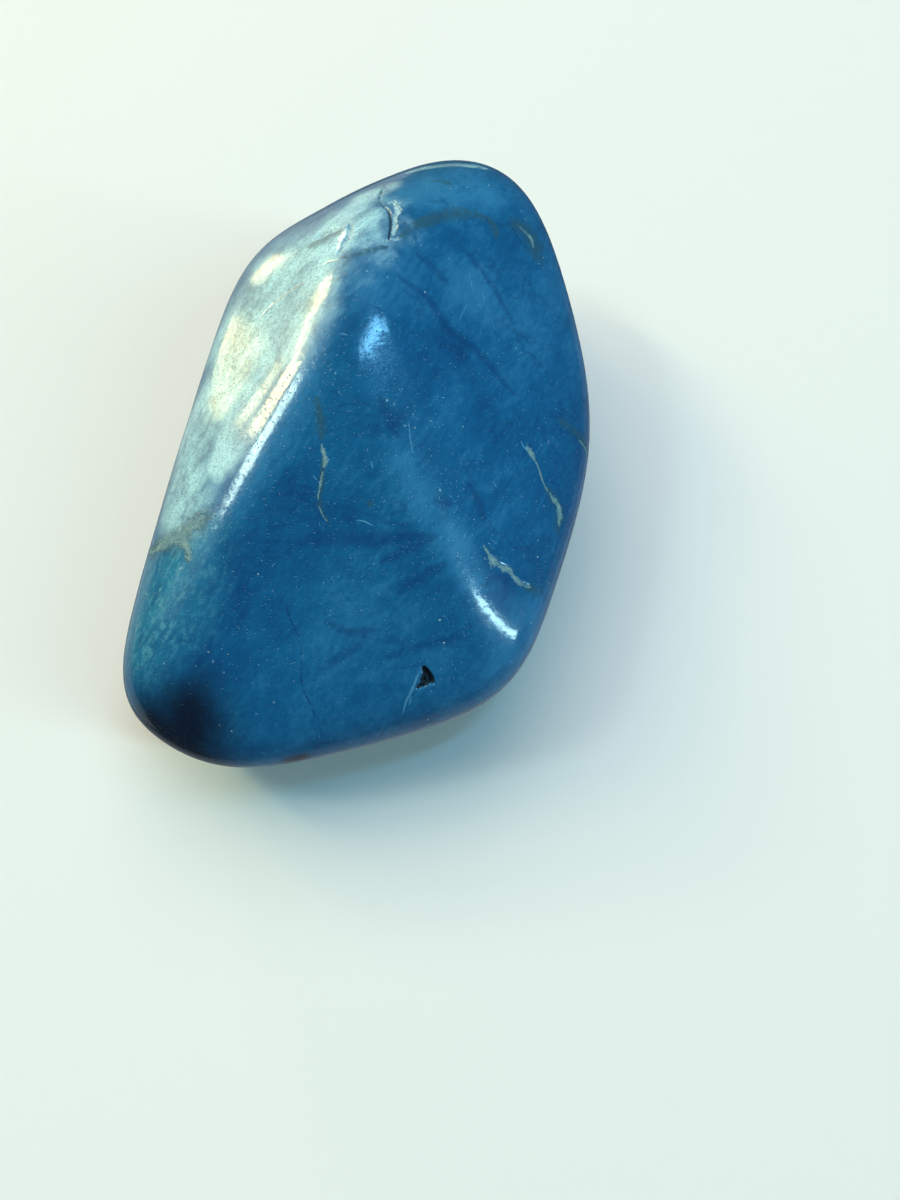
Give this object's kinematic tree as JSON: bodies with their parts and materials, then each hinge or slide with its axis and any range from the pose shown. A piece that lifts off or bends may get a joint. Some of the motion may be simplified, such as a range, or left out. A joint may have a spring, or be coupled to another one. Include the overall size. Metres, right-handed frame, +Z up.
{
  "type": "dyed howlite tumbled stone",
  "caption": "Long, flattened tumbled pebble of blue-dyed howlite with blunt ridges, a small open pit and a cracked, chipped step over one end.",
  "frame": {"origin": "middle of the box on plan, at the height of the flat patch that the stone rests on", "axes": "+Y along the stone's long way, from its low nose to its high crowned end; +Z up through its thickness"},
  "size_m": [0.0296, 0.0466, 0.0191],
  "materials": {
    "stone": "tumble-polished, dyed blue, with cream and brown veins"
  },
  "bodies": {
    "root": {"stone": "stone"}
  },
  "joints": []
}
